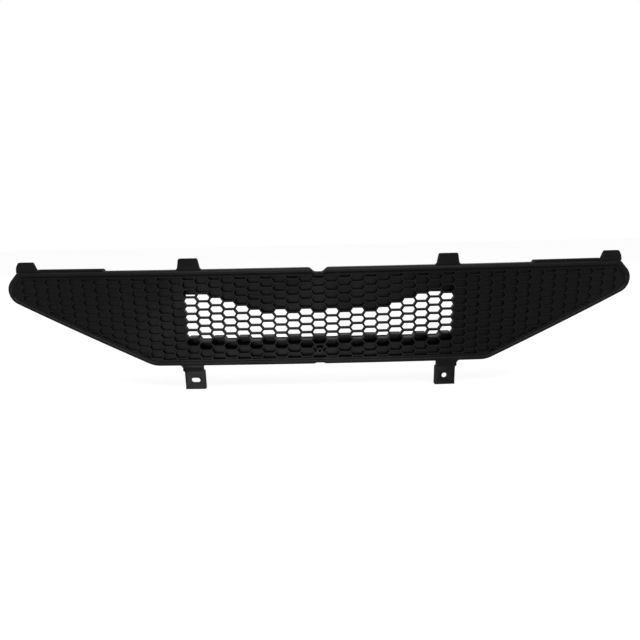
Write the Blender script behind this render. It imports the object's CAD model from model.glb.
"""Looks of the lower front grille: one black moulding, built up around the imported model.

The panel, the rim and the fixings are drawn again with finer shapes: drafted cells with soft rib
edges, a smooth roll round the rim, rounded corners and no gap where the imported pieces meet. They are
drawn flat, with the depth along Y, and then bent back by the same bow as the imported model.
"""
import math

import bmesh
import bpy
from mathutils import Matrix, Vector


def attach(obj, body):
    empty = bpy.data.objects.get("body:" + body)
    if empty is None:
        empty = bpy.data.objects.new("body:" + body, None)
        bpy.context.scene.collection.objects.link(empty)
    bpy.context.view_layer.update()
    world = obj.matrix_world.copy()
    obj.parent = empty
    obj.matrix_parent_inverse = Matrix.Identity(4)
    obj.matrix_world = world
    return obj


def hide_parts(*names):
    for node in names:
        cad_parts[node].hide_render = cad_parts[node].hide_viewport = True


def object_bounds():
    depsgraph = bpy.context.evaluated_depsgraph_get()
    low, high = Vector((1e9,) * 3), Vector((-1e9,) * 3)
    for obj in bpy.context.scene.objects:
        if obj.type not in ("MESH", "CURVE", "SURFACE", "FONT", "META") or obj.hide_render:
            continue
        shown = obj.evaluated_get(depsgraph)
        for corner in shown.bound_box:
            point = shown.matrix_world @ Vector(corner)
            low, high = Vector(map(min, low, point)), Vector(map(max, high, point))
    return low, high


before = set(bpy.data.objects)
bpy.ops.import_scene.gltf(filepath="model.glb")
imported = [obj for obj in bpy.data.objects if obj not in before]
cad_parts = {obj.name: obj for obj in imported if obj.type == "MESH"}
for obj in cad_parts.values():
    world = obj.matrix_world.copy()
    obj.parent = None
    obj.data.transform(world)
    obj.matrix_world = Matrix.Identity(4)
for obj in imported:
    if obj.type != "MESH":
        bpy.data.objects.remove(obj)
cad_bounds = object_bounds()

MM = 0.001

# The bow: how far the face falls back at a distance x from the middle.
BOW_SQUARE = 0.067
BOW_FOURTH = 0.178

# Honeycomb. Column i is i column pitches from the middle; odd columns sit half a row lower.
COLUMN_PITCH = 19.2 * MM
ROW_PITCH = 12.55 * MM
CELL_FLAT = 0.39 * COLUMN_PITCH
CELL_APEX = 0.61 * COLUMN_PITCH
RIB = 2.2 * MM
MESH_RIB = 2.9 * MM
MESH_DEPTH = 7.5 * MM
LAST_COLUMN = 25
ROWS_ABOVE = 8
ROWS_BELOW = 6

# Blind cells: depth in the middle, the depth that they fade towards, how fast, and the floor behind.
POCKET_DEPTH = 7.0 * MM
POCKET_END_DEPTH = 1.8 * MM
POCKET_FADE = 250.0 * MM
POCKET_FLOOR = 2.3 * MM
DEEP_POCKET = 15.0 * MM
DEEP_FLOOR = 1.8 * MM

# Window: its last column, its lowest row, and its top row, which rises beyond the middle columns.
WINDOW_COLUMN = 10
WINDOW_TOP_ROW = 1.5
WINDOW_LOW_ROW = 1.5
WINDOW_MIDDLE = 2

# Cells at the rim: shorter edges are collapsed and smaller scraps dropped.
SMALLEST_SCRAP = 1.0 * MM * MM
SHORTEST_EDGE = 0.8 * MM

# Points closer than this, in metres, count as one point.
CUT_TOLERANCE = 1e-7
NO_LENGTH = 1e-6
PACKED_WELD = 2e-6
CELL_WELD = 1e-5
BORDER_WELD = 5e-5

# Outline of the rim, measured from the middle of the panel.
RIM_TOP = 84.6 * MM
RIM_BOTTOM = 62.5 * MM
TIP_X = 453.64 * MM
TIP_Z = 56.2 * MM
TIP_RADIUS = 22.6 * MM
TIP_INNER_RADIUS = 11.0 * MM
SHOULDER_ANGLE = 45.0
SHOULDER_RADIUS = 4.0 * MM
SHOULDER_INNER_RADIUS = 2.0 * MM
SLOPE_ANGLE = -64.6
LOWER_CORNER_RADIUS = 40.0 * MM
SHOULDER_STEPS = 6
TIP_STEPS = 24
LOWER_CORNER_STEPS = 8
TOP_BAND = 9.9 * MM
SHOULDER_BAND = 14.0 * MM
SLOPE_BAND = 8.9 * MM
BOTTOM_BAND = 9.4 * MM
WALL_DEPTH = 16.0 * MM
CREST = -2.0 * MM
RIM_WALL = 2.4 * MM
SLOPE_SPLIT_X = 262.0 * MM
TIP_SPLIT_X = 410.0 * MM
UPPER_LOWER_Z = 50.0 * MM
PAST_END_X = 1000.0 * MM

# Notches in the rim's level sides: half width, half width of the level bottom, depth.
TOP_NOTCH = (15.2 * MM, 3.6 * MM, 6.4 * MM)
BOTTOM_NOTCH = (9.5 * MM, 4.5 * MM, 1.6 * MM)
NOTCH_STEPS = 12

# Section of the rim: (share of the band from the outer edge, depth), from the wall over the crest
# and down to the flat bead beside the cells.
RIM_SECTION = (
    (0.0, WALL_DEPTH),
    (0.0, 9.0 * MM),
    (0.0, 3.6 * MM),
    (0.03, 2.0 * MM),
    (0.09, 0.7 * MM),
    (0.18, -0.5 * MM),
    (0.29, -1.4 * MM),
    (0.42, -1.9 * MM),
    (0.52, CREST),
    (0.60, -1.75 * MM),
    (0.67, -1.0 * MM),
    (0.73, 0.2 * MM),
    (0.77, 0.5 * MM),
    (0.81, 0.15 * MM),
    (0.84, 0.0),
    (1.0, 0.0),
)

# Soft rib edge, as (distance in from the cell's edge, depth), then the drafted wall and the fillet at
# the floor. In a shallow pocket the rib edge and the fillet take at most a share of its depth.
SOFT_RIB = ((0.72 * MM, 0.0), (0.92 * MM, 0.07 * MM), (1.06 * MM, 0.24 * MM), (1.12 * MM, 0.5 * MM))
SOFT_SHARE = 0.4
DRAFT = 0.035
FLOOR_FILLET = 0.35 * MM
FILLET_SHARE = 0.3

# Small cells: a plain rib where the soft one doesn't fit, the shortest side that a ring may have, the
# limit on how far its corners move, and the radius below which a cell stays solid.
PLAIN_RIB = 0.9 * MM
SHORTEST_SIDE = 0.3 * MM
SHARPEST_CORNER = 0.15
SMALLEST_CELL = 1.4 * MM

# Shelf on top of the deep cells, flush with the ribs of the open mesh in front of it.
SHELF_ROOT = 0.6 * MM
SHELF_REAR = DEEP_POCKET + DEEP_FLOOR
SHELF_OVERLAP = 0.2 * MM

# Pin hole of the locating boss and the slot above it, which is cut from behind.
BOSS_Z = -41.4 * MM
BOSS_HOLE = 2.1 * MM
BOSS_HOLE_STEPS = 24
BOSS_HOLE_DEPTHS = (-3.0 * MM, 4.0 * MM)
BOSS_SLOT_HALF = 4.2 * MM
BOSS_SLOT_TOP_Z = -33.2 * MM
BOSS_SLOT_LOW_Z = -38.4 * MM
BOSS_SLOT_DEPTHS = (4.5 * MM, 20.0 * MM)

# Tabs, fins and brackets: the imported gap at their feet, how far the feet then reach into the rim, the
# band of height that counts as the foot, and the fins' outer ends, which reach into the outer tabs.
FOOT_GAP = 0.3 * MM
SINK = 1.2 * MM
FOOT_BAND = 0.6 * MM
FIN_END_X = 418.5 * MM
FIN_REACH = 8.0 * MM

# The upper rail's low edge shows in the window's end cells, and reaches a little further down.
UPPER_RAIL_LOW = 47.2 * MM
RAIL_BAND = 2.5 * MM
RAIL_DROP = 1.6 * MM

# Round edges of the fixings and of what sits behind the panel, and the angles in degrees that decide
# which edges are flat, rounded or shaded smooth.
TAB_ROUND = 0.6 * MM
FIN_ROUND = 0.4 * MM
BRACKET_ROUND = 0.25 * MM
BACK_ROUND = 0.3 * MM
ROUND_SEGMENTS = 3
FLAT_ANGLE = 2
ROUNDED_ANGLE = 28
SMOOTH_ANGLE = 40
STRAIGHT_ANGLE = 178.5

# Flat meshes are sliced this often before the bend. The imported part's half width sets where its
# middle lies in depth; the drawn tips stop just short of it.
BEND_STEP = 9.6 * MM
END_X = 476.3 * MM

# Camera: where the middle of the face sits in front of it, and how it is turned.
CAMERA_PITCH = 12.0
CAMERA_YAW = -0.17
CAMERA_ROLL = -1.23
CAMERA_RIGHT = -1.035 * MM
CAMERA_DISTANCE = 645.0 * MM
CAMERA_UP = -6.375 * MM
SENSOR = 36.0
FOCAL_SHARE = 430.0 / 640.0
CLIP_START = 10.0 * MM

# Studio. The camera sees a white world and everything else a dim one. Softboxes, in metres: name,
# place, point they look at, width, height, radiance.
WHITE = (1, 1, 1, 1)
SEEN_WORLD = 1.0
ROOM_WORLD = 0.19
FLOOR_SIZE = 12.0
FLOOR_GAP = 0.2 * MM
FLOOR_COLOUR = (0.9, 0.9, 0.9, 1)
FLOOR_ROUGHNESS = 0.9
FLOOR_SPECULAR = 0.1
FLOOR_GLOW = 0.8
SOFTBOXES = (
    ("top_softbox", (0, -0.6, 1.5), (0, 0, 0), 1.6, 1.0, 1.1),
    ("front_softbox", (-0.2, -1.1, -0.45), (-0.05, 0, 0), 1.1, 0.7, 1.35),
    ("back_softbox", (0, 2.0, 0.5), (0, 0, 0), 2.4, 0.8, 0.55),
)

# Plastic: its tone with the shares it varies between, and the paler colour of worn edges.
TONE = 0.010
DARK_SHARES = (0.85, 0.85, 0.87)
PALE_SHARES = (1.15, 1.15, 1.2)
WORN_COLOUR = (0.035, 0.035, 0.036, 1)
PLASTIC_IOR = 1.5
PANEL_ROUGHNESS = 0.46
PANEL_GRAIN = 0.35
RIM_ROUGHNESS = 0.42
RIM_GRAIN = 0.3
GLOSSIER = -0.05
DULLER = 0.06
GRAIN_HEIGHT = 0.05 * MM

# Edge wear: radius and samples of the bevel that finds edges, the cosines between its normal and the
# true one where wear starts and is full, the most wear, and the least that its noise leaves.
WEAR_RADIUS = 0.5 * MM
WEAR_SAMPLES = 4
WEAR_COSINES = (0.995, 0.85)
MOST_WEAR = 0.55
LEAST_WEAR_SHARE = 0.2

# Noises, as (scale, detail), and the stretch of their values that is spread over a range.
WEAR_NOISE = (90.0, 3.0)
TONE_NOISE = (14.0, 4.0)
GLOSS_NOISE = (22.0, 5.0)
GRAIN_NOISE = (1900.0, 2.0)
NOISE_STRETCH = (0.3, 0.7)


def face_depth(x):
    """Depth of the bowed face at a distance x from the middle."""
    return BOW_SQUARE * x * x + BOW_FOURTH * x ** 4


CENTRE_DEPTH = 0.5 * (CREST + WALL_DEPTH + face_depth(END_X))


# ---------------------------------------------------------------- camera, floor and light

def place_camera():
    """Pinhole camera, placed and turned relative to the middle of the face."""
    pitch = Matrix.Rotation(math.radians(CAMERA_PITCH), 3, "X")
    yaw = Matrix.Rotation(math.radians(CAMERA_YAW), 3, "Z")
    roll = Matrix.Rotation(math.radians(CAMERA_ROLL), 3, "Y")
    turn = roll @ pitch @ yaw
    back = turn.transposed()
    offset = Vector((CAMERA_RIGHT, CAMERA_DISTANCE, CAMERA_UP))
    place = Vector((0, -CENTRE_DEPTH, 0)) - back @ offset
    right, forward, up = back.col[0], back.col[1], back.col[2]
    data = bpy.data.cameras.new("camera")
    data.sensor_width = SENSOR
    data.lens = SENSOR * FOCAL_SHARE
    data.clip_start = CLIP_START
    camera = bpy.data.objects.new("camera", data)
    camera.matrix_world = Matrix((
        (right.x, up.x, -forward.x, place.x),
        (right.y, up.y, -forward.y, place.y),
        (right.z, up.z, -forward.z, place.z),
        (0, 0, 0, 1),
    ))
    bpy.context.scene.collection.objects.link(camera)
    bpy.context.scene.camera = camera


def softbox(name, place, target, width, height, radiance):
    """Large soft light that looks at a point, with its brightness given as radiance."""
    data = bpy.data.lights.new(name, "AREA")
    data.shape = "RECTANGLE"
    data.size = width
    data.size_y = height
    data.energy = radiance * width * height * math.pi
    light = bpy.data.objects.new(name, data)
    light.location = place
    light.rotation_euler = (Vector(target) - Vector(place)).to_track_quat("-Z", "Y").to_euler()
    light.visible_camera = False
    bpy.context.scene.collection.objects.link(light)


def background(tree, strength):
    """Output of a white background of the given strength."""
    node = tree.nodes.new("ShaderNodeBackground")
    node.inputs["Color"].default_value = WHITE
    node.inputs["Strength"].default_value = strength
    return node.outputs["Background"]


def white_world():
    """World that is white to the camera and dim to everything else."""
    world = bpy.data.worlds.new("studio")
    world.use_nodes = True
    tree = world.node_tree
    tree.nodes.clear()
    output = tree.nodes.new("ShaderNodeOutputWorld")
    mix = tree.nodes.new("ShaderNodeMixShader")
    path = tree.nodes.new("ShaderNodeLightPath")
    tree.links.new(path.outputs["Is Camera Ray"], mix.inputs["Fac"])
    tree.links.new(background(tree, ROOM_WORLD), mix.inputs[1])
    tree.links.new(background(tree, SEEN_WORLD), mix.inputs[2])
    tree.links.new(mix.outputs["Shader"], output.inputs["Surface"])
    bpy.context.scene.world = world


def build_studio():
    """World, glowing floor just under the part, and softboxes."""
    white_world()
    low = Vector(cad_bounds[0])
    bpy.ops.mesh.primitive_plane_add(size=FLOOR_SIZE, location=(0, 0, low.z - FLOOR_GAP))
    floor = bpy.context.active_object
    floor.name = "floor"
    material = bpy.data.materials.new("floor_white")
    material.use_nodes = True
    shader = material.node_tree.nodes["Principled BSDF"]
    shader.inputs["Base Color"].default_value = FLOOR_COLOUR
    shader.inputs["Roughness"].default_value = FLOOR_ROUGHNESS
    shader.inputs["Specular IOR Level"].default_value = FLOOR_SPECULAR
    shader.inputs["Emission Color"].default_value = WHITE
    shader.inputs["Emission Strength"].default_value = FLOOR_GLOW
    floor.data.materials.append(material)
    floor.visible_glossy = False
    floor.visible_diffuse = False
    for values in SOFTBOXES:
        softbox(*values)


# ---------------------------------------------------------------- materials

def tinted(shares):
    """The plastic's tone, taken in the given shares of red, green and blue."""
    return tuple(TONE * share for share in shares) + (1,)


def moulded_plastic(name, roughness, grain):
    """Black grained plastic: fine grain, uneven tone and gloss, and paler worn edges."""
    material = bpy.data.materials.new(name)
    material.use_nodes = True
    tree = material.node_tree
    nodes, link = tree.nodes, tree.links.new
    shader = nodes["Principled BSDF"]
    shader.inputs["Metallic"].default_value = 0.0
    shader.inputs["IOR"].default_value = PLASTIC_IOR
    place = nodes.new("ShaderNodeTexCoord").outputs["Object"]

    def noise(scale, detail):
        """Smooth noise that is fixed to the object."""
        texture = nodes.new("ShaderNodeTexNoise")
        texture.inputs["Scale"].default_value = scale
        texture.inputs["Detail"].default_value = detail
        link(place, texture.inputs["Vector"])
        return texture.outputs["Fac"]

    def spread(value, stretch, low, high):
        """The value with a stretch of its range mapped to the range from low to high."""
        ranged = nodes.new("ShaderNodeMapRange")
        for word, number in zip(("From Min", "From Max", "To Min", "To Max"), (*stretch, low, high)):
            ranged.inputs[word].default_value = number
        link(value, ranged.inputs["Value"])
        return ranged.outputs["Result"]

    bevel = nodes.new("ShaderNodeBevel")
    bevel.samples = WEAR_SAMPLES
    bevel.inputs["Radius"].default_value = WEAR_RADIUS
    geometry = nodes.new("ShaderNodeNewGeometry")
    dot = nodes.new("ShaderNodeVectorMath")
    dot.operation = "DOT_PRODUCT"
    link(bevel.outputs["Normal"], dot.inputs[0])
    link(geometry.outputs["Normal"], dot.inputs[1])
    worn = nodes.new("ShaderNodeMath")
    worn.operation = "MULTIPLY"
    link(spread(dot.outputs["Value"], WEAR_COSINES, 0.0, MOST_WEAR), worn.inputs[0])
    link(spread(noise(*WEAR_NOISE), NOISE_STRETCH, LEAST_WEAR_SHARE, 1.0), worn.inputs[1])

    shade = nodes.new("ShaderNodeMix")
    shade.data_type = "RGBA"
    shade.inputs["A"].default_value = tinted(DARK_SHARES)
    shade.inputs["B"].default_value = tinted(PALE_SHARES)
    link(spread(noise(*TONE_NOISE), NOISE_STRETCH, 0.0, 1.0), shade.inputs["Factor"])
    wear = nodes.new("ShaderNodeMix")
    wear.data_type = "RGBA"
    wear.inputs["B"].default_value = WORN_COLOUR
    link(shade.outputs["Result"], wear.inputs["A"])
    link(worn.outputs["Value"], wear.inputs["Factor"])
    link(wear.outputs["Result"], shader.inputs["Base Color"])

    gloss = spread(noise(*GLOSS_NOISE), NOISE_STRETCH, roughness + GLOSSIER, roughness + DULLER)
    link(gloss, shader.inputs["Roughness"])

    bump = nodes.new("ShaderNodeBump")
    bump.inputs["Strength"].default_value = grain
    bump.inputs["Distance"].default_value = GRAIN_HEIGHT
    link(noise(*GRAIN_NOISE), bump.inputs["Height"])
    link(bevel.outputs["Normal"], bump.inputs["Normal"])
    link(bump.outputs["Normal"], shader.inputs["Normal"])
    return material


# ---------------------------------------------------------------- shared mesh steps

def pocket_depth(x):
    """Depth of the blind pockets: full in the middle, shallow towards the tips."""
    return POCKET_END_DEPTH + (POCKET_DEPTH - POCKET_END_DEPTH) * math.exp(-(x / POCKET_FADE) ** 2)


def deep_pocket_depth(x):
    """Depth of the deep cells, the same all along their row."""
    return DEEP_POCKET


def slice_at(bm, plane_point, plane_normal, clear_outer=False):
    """Cut the mesh along a plane; with clear_outer, the side that the normal points to is removed."""
    geometry = bm.verts[:] + bm.edges[:] + bm.faces[:]
    bmesh.ops.bisect_plane(bm, geom=geometry, dist=CUT_TOLERANCE, plane_co=plane_point,
                           plane_no=plane_normal, clear_outer=clear_outer)


def slice_for_bend(bm):
    """Cut a flat mesh across its length at even steps, so that it can follow the bow."""
    low = min(vert.co.x for vert in bm.verts)
    high = max(vert.co.x for vert in bm.verts)
    for count in range(math.ceil(low / BEND_STEP), math.floor(high / BEND_STEP) + 1):
        slice_at(bm, (count * BEND_STEP, 0, 0), (1, 0, 0))


def bend(bm):
    """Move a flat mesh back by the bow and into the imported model's frame."""
    for vert in bm.verts:
        vert.co.y += face_depth(vert.co.x) - CENTRE_DEPTH


def evaluated(holder):
    """Mesh of an object with its modifiers applied; the object is removed."""
    bpy.context.view_layer.update()
    graph = bpy.context.evaluated_depsgraph_get()
    mesh = bpy.data.meshes.new_from_object(holder.evaluated_get(graph))
    source = holder.data
    bpy.data.objects.remove(holder, do_unlink=True)
    bpy.data.meshes.remove(source)
    bm = bmesh.new()
    bm.from_mesh(mesh)
    bpy.data.meshes.remove(mesh)
    return bm


def holder_of(bm, name):
    """Object with the mesh as its data; the bmesh is freed."""
    mesh = bpy.data.meshes.new(name)
    bm.to_mesh(mesh)
    bm.free()
    holder = bpy.data.objects.new(name, mesh)
    bpy.context.scene.collection.objects.link(holder)
    return holder


def carved(bm, cutter_bm):
    """The closed mesh without the part that the cutter covers."""
    holder = holder_of(bm, "body")
    cutter = holder_of(cutter_bm, "cutter")
    boolean = holder.modifiers.new("cut", "BOOLEAN")
    boolean.operation = "DIFFERENCE"
    boolean.solver = "EXACT"
    boolean.object = cutter
    result = evaluated(holder)
    source = cutter.data
    bpy.data.objects.remove(cutter, do_unlink=True)
    bpy.data.meshes.remove(source)
    return result


def prism(points, front, rear):
    """Closed mesh of an outline of (x, z) points that reaches from front to rear in depth."""
    bm = bmesh.new()
    near = [bm.verts.new((x, front, z)) for x, z in points]
    far = [bm.verts.new((x, rear, z)) for x, z in points]
    bm.faces.new(near)
    bm.faces.new(far[::-1])
    for index in range(len(points)):
        after = (index + 1) % len(points)
        bm.faces.new((near[index], far[index], far[after], near[after]))
    bmesh.ops.recalc_face_normals(bm, faces=bm.faces[:])
    return bm


def show(bm, node, material, smooth_angle):
    """Make the mesh into the piece that stands for a CAD node; an angle of 0 shades it flat."""
    bmesh.ops.recalc_face_normals(bm, faces=bm.faces[:])
    piece = holder_of(bm, node + "_skin")
    mesh = piece.data
    mesh.materials.clear()
    mesh.materials.append(material)
    if smooth_angle:
        mesh.shade_smooth()
        mesh.set_sharp_from_angle(angle=math.radians(smooth_angle))
    else:
        mesh.shade_flat()
    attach(piece, "root")
    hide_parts(node)


# ---------------------------------------------------------------- rim

def line(angle, point, inset):
    """A side of the outline: its outward normal and its distance from the origin, moved inwards."""
    normal = Vector((math.cos(math.radians(angle)), math.sin(math.radians(angle))))
    return angle, normal, normal.dot(Vector(point)) - inset


def meeting_point(first, second, shift):
    """Where two sides meet after both have moved inwards by shift."""
    _, n1, d1 = first
    _, n2, d2 = second
    d1 -= shift
    d2 -= shift
    det = n1.x * n2.y - n1.y * n2.x
    return Vector(((d1 * n2.y - d2 * n1.y) / det, (n1.x * d2 - n2.x * d1) / det))


def corner(first, second, radius, steps):
    """Points of the round corner between two sides, going clockwise."""
    centre = meeting_point(first, second, radius)
    turn = second[0] - first[0]
    points = []
    for count in range(steps + 1):
        angle = math.radians(first[0] + turn * count / steps)
        points.append((centre.x + radius * math.cos(angle), centre.y + radius * math.sin(angle)))
    return points


def notch(edge, shape, share, direction):
    """Points of a soft notch in a level edge, from one side to the other."""
    half, flat, depth = shape
    inward = -1 if edge > 0 else 1
    points = []
    for step in range(-NOTCH_STEPS, NOTCH_STEPS + 1):
        x = half * step / NOTCH_STEPS
        blend_in = min(max((half - abs(x)) / (half - flat), 0.0), 1.0)
        dip = share * depth * 0.5 * (1 - math.cos(math.pi * blend_in))
        points.append((direction * x, edge + inward * dip))
    return points


def outline(inner):
    """Closed outline of the rim, clockwise: its outer edge, or its inner edge around the panel."""
    band = 1.0 if inner else 0.0
    slope_normal = math.radians(SLOPE_ANGLE)
    slope_point = (TIP_X + TIP_RADIUS * math.cos(slope_normal),
                   TIP_Z + TIP_RADIUS * math.sin(slope_normal))
    shoulder_normal = math.radians(SHOULDER_ANGLE)
    shoulder_point = (TIP_X + TIP_RADIUS * math.cos(shoulder_normal),
                      TIP_Z + TIP_RADIUS * math.sin(shoulder_normal))
    top = line(90, (0, RIM_TOP), band * TOP_BAND)
    shoulder = line(SHOULDER_ANGLE, shoulder_point, band * SHOULDER_BAND)
    slope = line(SLOPE_ANGLE, slope_point, band * SLOPE_BAND)
    bottom = line(-90, (0, -RIM_BOTTOM), band * BOTTOM_BAND)
    right = corner(top, shoulder, SHOULDER_INNER_RADIUS if inner else SHOULDER_RADIUS, SHOULDER_STEPS)
    right += corner(shoulder, slope, TIP_INNER_RADIUS if inner else TIP_RADIUS, TIP_STEPS)
    right += corner(slope, bottom, LOWER_CORNER_RADIUS - band * SLOPE_BAND, LOWER_CORNER_STEPS)
    left = [(-x, z) for x, z in reversed(right)]
    points = notch(RIM_TOP - band * TOP_BAND, TOP_NOTCH, 1.0 - band, 1)
    points += right
    points += notch(-RIM_BOTTOM + band * BOTTOM_BAND, BOTTOM_NOTCH, 1.0 - band, -1)
    points += left
    return points


def whole_rim():
    """Closed flat mesh of the whole rim: a rolled skin with an even wall behind it."""
    bm = bmesh.new()
    loops = []
    for share, depth in RIM_SECTION:
        loops.append([bm.verts.new((out_x + share * (in_x - out_x), depth, out_z + share * (in_z - out_z)))
                      for (out_x, out_z), (in_x, in_z) in zip(outline(False), outline(True))])
    for first, second in zip(loops, loops[1:]):
        for here in range(len(first)):
            after = (here + 1) % len(first)
            bm.faces.new((first[here], first[after], second[after], second[here]))
    bmesh.ops.recalc_face_normals(bm, faces=bm.faces[:])
    front = max(bm.faces, key=lambda face: abs(face.normal.y))
    if front.normal.y > 0:
        bmesh.ops.reverse_faces(bm, faces=bm.faces[:])
    holder = holder_of(bm, "rim")
    wall = holder.modifiers.new("wall", "SOLIDIFY")
    wall.thickness = RIM_WALL
    wall.offset = -1.0
    wall.use_even_offset = True
    wall.use_quality_normals = True
    return evaluated(holder)


def rim_piece(rim, node, material, low_x, high_x, half):
    """The stretch of the rim that stands for one node."""
    bm = rim.copy()
    slice_at(bm, (high_x, 0, 0), (1, 0, 0), clear_outer=True)
    slice_at(bm, (low_x, 0, 0), (-1, 0, 0), clear_outer=True)
    if half != "both":
        unwanted = [face for face in bm.faces
                    if (face.calc_center_median().z > UPPER_LOWER_Z) != (half == "upper")]
        bmesh.ops.delete(bm, geom=unwanted, context="FACES")
    bmesh.ops.holes_fill(bm, edges=[edge for edge in bm.edges if edge.is_boundary])
    slice_for_bend(bm)
    bend(bm)
    show(bm, node, material, SMOOTH_ANGLE)


# ---------------------------------------------------------------- honeycomb

def rows_of(column):
    """Row numbers of a column's cells, counted downwards from the middle."""
    shift = 0.5 if column % 2 else 0.0
    return [row + shift for row in range(-ROWS_ABOVE, ROWS_BELOW + 1)]


def window_top(column):
    """Row of the window's topmost cell in a column."""
    return -max(WINDOW_TOP_ROW, (abs(column) - WINDOW_MIDDLE) / 2)


def zone_of(column, row):
    """Which part of the panel a cell belongs to."""
    if column < -WINDOW_COLUMN:
        return "left"
    if column > WINDOW_COLUMN:
        return "right"
    if row < window_top(column):
        return "upper"
    if row <= WINDOW_LOW_ROW:
        return "window"
    if row <= WINDOW_LOW_ROW + 1:
        return "deep"
    return "lower"


def cell_corners(column, row):
    """Corners of a cell as (x, z), clockwise from its upper left one."""
    x = column * COLUMN_PITCH
    z = -row * ROW_PITCH
    half = ROW_PITCH / 2
    return [(x - CELL_FLAT, z + half), (x + CELL_FLAT, z + half), (x + CELL_APEX, z),
            (x + CELL_FLAT, z - half), (x - CELL_FLAT, z - half), (x - CELL_APEX, z)]


def cell_sheet(zone):
    """Flat sheet of a zone's cells, one face each, cut back to the rim's inner edge."""
    bm = bmesh.new()
    for column in range(-LAST_COLUMN, LAST_COLUMN + 1):
        for row in rows_of(column):
            if zone_of(column, row) == zone:
                bm.faces.new([bm.verts.new((x, 0, z)) for x, z in cell_corners(column, row)])
    bmesh.ops.remove_doubles(bm, verts=bm.verts[:], dist=CELL_WELD)
    border = outline(True)
    for (x1, z1), (x2, z2) in zip(border, border[1:] + border[:1]):
        direction = Vector((x2 - x1, 0, z2 - z1))
        if direction.length > NO_LENGTH:
            outward = Vector((-direction.z, 0, direction.x)).normalized()
            slice_at(bm, (x1, 0, z1), outward, clear_outer=True)
    bmesh.ops.remove_doubles(bm, verts=bm.verts[:], dist=BORDER_WELD)
    bmesh.ops.collapse(bm, edges=[edge for edge in bm.edges if edge.calc_length() < SHORTEST_EDGE])
    scraps = [face for face in bm.faces if face.calc_area() < SMALLEST_SCRAP]
    bmesh.ops.delete(bm, geom=scraps, context="FACES")
    for face in bm.faces:
        if face.normal.y > 0:
            face.normal_flip()
    return bm


def drawn_in(points, distance):
    """The outline moved inwards by distance, or None where it is too small for that."""
    count = len(points)
    ways = [(points[(index + 1) % count] - points[index]).normalized() for index in range(count)]
    area = sum(a.cross(b) for a, b in zip(points, points[1:] + points[:1]))
    turn = 1 if area > 0 else -1
    result = []
    for index in range(count):
        before = ways[index - 1]
        after = ways[index]
        first = Vector((-before.y, before.x)) * turn
        second = Vector((-after.y, after.x)) * turn
        opening = max(1 + first.dot(second), SHARPEST_CORNER)
        result.append(points[index] + (first + second) * distance / opening)
    for index in range(count):
        side = result[(index + 1) % count] - result[index]
        if side.dot(ways[index]) < SHORTEST_SIDE:
            return None
    return result


def cell_steps(points, x, pocket):
    """Rings from a cell's edge down to its floor, as (outline, depth), or None for a solid cell."""
    depth = pocket(x)
    wall = [(inset, min(sink, SOFT_SHARE * depth)) for inset, sink in SOFT_RIB]
    foot = SOFT_RIB[-1][0] + DRAFT * depth
    wall.append((foot, depth - min(FLOOR_FILLET, FILLET_SHARE * depth)))
    wall.append((foot + 0.5 * FLOOR_FILLET, depth))
    rings = [(drawn_in(points, inset), sink) for inset, sink in wall]
    if all(ring for ring, _ in rings):
        return rings
    plain = drawn_in(points, PLAIN_RIB)
    if plain:
        return [(plain, 0.0), (plain, depth)]
    return None


def fit_ring(bm, start, ring, depth):
    """Join a ring of new points to the last one; returns the new ring's corners."""
    new = [bm.verts.new((place.x, depth, place.y)) for place in ring]
    for index in range(len(new)):
        after = (index + 1) % len(new)
        bm.faces.new((start[index], start[after], new[after], new[index]))
    return new


def radius_of(face):
    """Twice the area over the perimeter: about the radius of the largest circle in the face."""
    return 2 * face.calc_area() / face.calc_perimeter()


def plain_corners(bm):
    """Dissolve the points that lie on a straight side between two cells or on the sheet's edge."""
    for vert in list(bm.verts):
        if len(vert.link_edges) == 2:
            first, second = [edge.other_vert(vert).co - vert.co for edge in vert.link_edges]
            if first.angle(second) > math.radians(STRAIGHT_ANGLE):
                bmesh.ops.dissolve_verts(bm, verts=[vert])


def plate(zone, thickness_at):
    """Closed plate of a zone's cells; returns its mesh, its front faces and its back faces."""
    bm = cell_sheet(zone)
    plain_corners(bm)
    front = bm.faces[:]
    result = bmesh.ops.extrude_face_region(bm, geom=front)
    for vert in [item for item in result["geom"] if isinstance(item, bmesh.types.BMVert)]:
        vert.co.y = thickness_at(vert.co.x)
    return bm, front, [item for item in result["geom"] if isinstance(item, bmesh.types.BMFace)]


def blind_panel(zone, pocket, floor):
    """Flat plate of drafted blind cells with soft rib edges."""
    bm, front, _ = plate(zone, lambda x: pocket(x) + floor)
    for face in [face for face in front if radius_of(face) > SMALLEST_CELL]:
        start = face.verts[:]
        points = [Vector((vert.co.x, vert.co.z)) for vert in start]
        rings = cell_steps(points, face.calc_center_median().x, pocket)
        if rings:
            bm.faces.remove(face)
            for ring, depth in rings:
                start = fit_ring(bm, start, ring, depth)
            bm.faces.new(start)
    return bm


def open_panel():
    """Flat plate of the cells that air passes through, with soft edges in front and behind."""
    bm, front, back = plate("window", lambda x: MESH_DEPTH)
    wider = (MESH_RIB - RIB) / 2
    behind = {}
    for face in back:
        place = face.calc_center_median()
        behind[(round(place.x / MM), round(place.z / MM))] = face
    for face in front:
        place = face.calc_center_median()
        far_face = behind[(round(place.x / MM), round(place.z / MM))]
        start = face.verts[:]
        points = [Vector((vert.co.x, vert.co.z)) for vert in start]
        far = [min(far_face.verts, key=lambda vert: (vert.co.x - p.x) ** 2 + (vert.co.z - p.y) ** 2)
               for p in points]
        bm.faces.remove(face)
        bm.faces.remove(far_face)
        for inset, sink in SOFT_RIB:
            start = fit_ring(bm, start, drawn_in(points, inset + wider), sink)
        for inset, sink in reversed(SOFT_RIB):
            start = fit_ring(bm, start, drawn_in(points, inset + wider), MESH_DEPTH - sink)
        for index in range(len(far)):
            after = (index + 1) % len(far)
            bm.faces.new((start[index], start[after], far[after], far[index]))
    return bm


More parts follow.
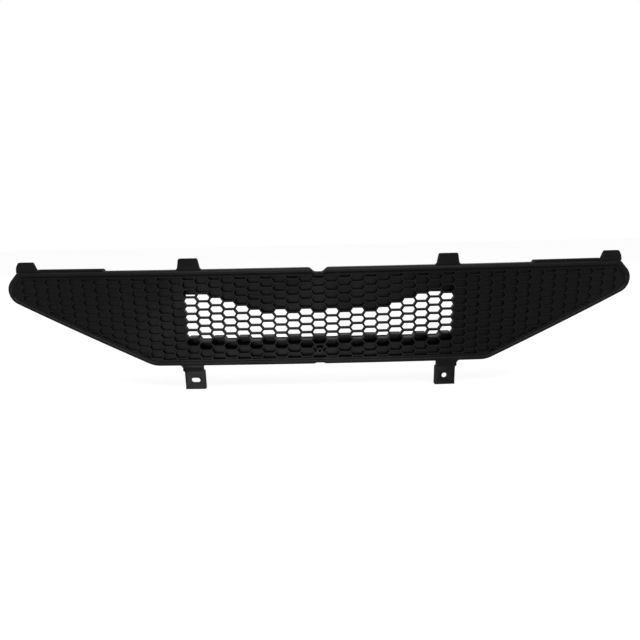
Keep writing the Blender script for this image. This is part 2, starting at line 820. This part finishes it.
def add_shelf(bm):
    """Zigzag shelf on top of the deep cells, from the back of the open mesh to the rear rail."""
    corners = []
    for column in range(-WINDOW_COLUMN, WINDOW_COLUMN + 1):
        row = min(row for row in rows_of(column) if zone_of(column, row) == "deep")
        corners += [Vector(place) for place in cell_corners(column, row)[:2]]
    upper = []
    lower = []
    for index, place in enumerate(corners):
        before = place - corners[index - 1] if index else Vector((1, 0))
        after = corners[index + 1] - place if index + 1 < len(corners) else Vector((1, 0))
        normals = [Vector((-way.y, way.x)).normalized() for way in (before, after)]
        mitre = (normals[0] + normals[1]) / (1 + normals[0].dot(normals[1]))
        upper.append(place + mitre * RIB / 2)
        lower.append(place - mitre * SHELF_ROOT)
    front = MESH_DEPTH - SHELF_OVERLAP
    rings = []
    for top, low in zip(upper, lower):
        rings.append([bm.verts.new(place) for place in
                      ((top.x, front, top.y), (top.x, SHELF_REAR, top.y),
                       (low.x, SHELF_REAR, low.y), (low.x, front, low.y))])
    for first, second in zip(rings, rings[1:]):
        for index in range(4):
            after = (index + 1) % 4
            bm.faces.new((first[index], first[after], second[after], second[index]))
    bm.faces.new(rings[0])
    bm.faces.new(rings[-1][::-1])


def carve_boss_slot(bm):
    """Cut the boss's pin hole and the slot above it out of the flat lower panel."""
    turns = [math.radians(360 / BOSS_HOLE_STEPS * step) for step in range(BOSS_HOLE_STEPS)]
    hole = [(BOSS_HOLE * math.cos(turn), BOSS_Z + BOSS_HOLE * math.sin(turn)) for turn in turns]
    slot = [(-BOSS_SLOT_HALF, BOSS_SLOT_LOW_Z), (BOSS_SLOT_HALF, BOSS_SLOT_LOW_Z),
            (BOSS_SLOT_HALF, BOSS_SLOT_TOP_Z), (-BOSS_SLOT_HALF, BOSS_SLOT_TOP_Z)]
    bm = carved(bm, prism(hole, *BOSS_HOLE_DEPTHS))
    return carved(bm, prism(slot, *BOSS_SLOT_DEPTHS))


def panel_piece(bm, node, material):
    """Bend a flat zone of the panel and let it stand for its node."""
    bend(bm)
    show(bm, node, material, 0)


# ---------------------------------------------------------------- fixings

def rounded_copy(node, slot, material, width, level=0.0, near=0.0, sink=0.0):
    """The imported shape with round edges; points near a level are moved by sink, into the rim."""
    bm = bmesh.new()
    bm.from_mesh(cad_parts[node].data)
    bmesh.ops.remove_doubles(bm, verts=bm.verts[:], dist=PACKED_WELD)
    bmesh.ops.dissolve_limit(bm, angle_limit=math.radians(FLAT_ANGLE), verts=bm.verts[:],
                             edges=bm.edges[:])
    sharp = [edge for edge in bm.edges
             if edge.is_manifold and edge.calc_face_angle() > math.radians(ROUNDED_ANGLE)]
    bmesh.ops.bevel(bm, geom=sharp, offset=width, segments=ROUND_SEGMENTS, profile=0.5,
                    affect="EDGES", clamp_overlap=True)
    for vert in bm.verts:
        if abs(vert.co.z - level) < near:
            vert.co.z += sink
        if node.startswith("top_fin") and abs(vert.co.x) > FIN_END_X:
            along = vert.co.x + math.copysign(FIN_REACH, vert.co.x)
            vert.co.y += face_depth(along) - face_depth(vert.co.x)
            vert.co.x = along
    show(bm, node, material, SMOOTH_ANGLE)


# ---------------------------------------------------------------- assembly

def build_rim(material):
    """The rim in six stretches: top, bottom, two slopes and two tips."""
    rim = whole_rim()
    rim_piece(rim, "rim_top", material, -TIP_SPLIT_X, TIP_SPLIT_X, "upper")
    rim_piece(rim, "rim_bottom", material, -SLOPE_SPLIT_X, SLOPE_SPLIT_X, "lower")
    rim_piece(rim, "rim_slope_left", material, -TIP_SPLIT_X, -SLOPE_SPLIT_X, "lower")
    rim_piece(rim, "rim_slope_right", material, SLOPE_SPLIT_X, TIP_SPLIT_X, "lower")
    rim_piece(rim, "rim_tip_left", material, -PAST_END_X, -TIP_SPLIT_X, "both")
    rim_piece(rim, "rim_tip_right", material, TIP_SPLIT_X, PAST_END_X, "both")
    rim.free()


def build_panel(material):
    """The panel in six zones of cells."""
    for zone in ("left", "right", "upper"):
        panel_piece(blind_panel(zone, pocket_depth, POCKET_FLOOR), "honeycomb_" + zone, material)
    lower = carve_boss_slot(blind_panel("lower", pocket_depth, POCKET_FLOOR))
    panel_piece(lower, "honeycomb_lower", material)
    deep = blind_panel("deep", deep_pocket_depth, DEEP_FLOOR)
    add_shelf(deep)
    panel_piece(deep, "deep_cell_row", material)
    panel_piece(open_panel(), "open_mesh", material)


def build_fixings(panel, rim):
    """Tabs, fins, brackets, rails and boss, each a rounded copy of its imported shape."""
    top_foot = (RIM_TOP + FOOT_GAP, FOOT_BAND, -SINK)
    low_foot = (-RIM_BOTTOM - FOOT_GAP, FOOT_BAND, SINK)
    for word in ("left", "right"):
        rounded_copy("tab_inner_" + word, "rim_plastic", rim, TAB_ROUND, *top_foot)
        rounded_copy("tab_outer_" + word, "rim_plastic", rim, TAB_ROUND, *top_foot)
        rounded_copy("top_fin_" + word, "rim_plastic", rim, FIN_ROUND, *top_foot)
        rounded_copy("bracket_" + word, "rim_plastic", rim, BRACKET_ROUND, *low_foot)
    rounded_copy("back_rail_lower", "panel_plastic", panel, BACK_ROUND)
    rounded_copy("back_rail_upper", "panel_plastic", panel, BACK_ROUND, UPPER_RAIL_LOW, RAIL_BAND,
                 -RAIL_DROP)
    rounded_copy("locating_boss", "rim_plastic", rim, BACK_ROUND)


def build():
    """Camera, studio and the 23 pieces."""
    place_camera()
    build_studio()
    panel = moulded_plastic("panel_grain", PANEL_ROUGHNESS, PANEL_GRAIN)
    rim = moulded_plastic("rim_grain", RIM_ROUGHNESS, RIM_GRAIN)
    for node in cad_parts.values():
        node.data.materials.clear()
        node.data.materials.append(panel)
    build_rim(rim)
    build_panel(panel)
    build_fixings(panel, rim)
    bpy.context.scene.view_settings.view_transform = "Standard"


build()
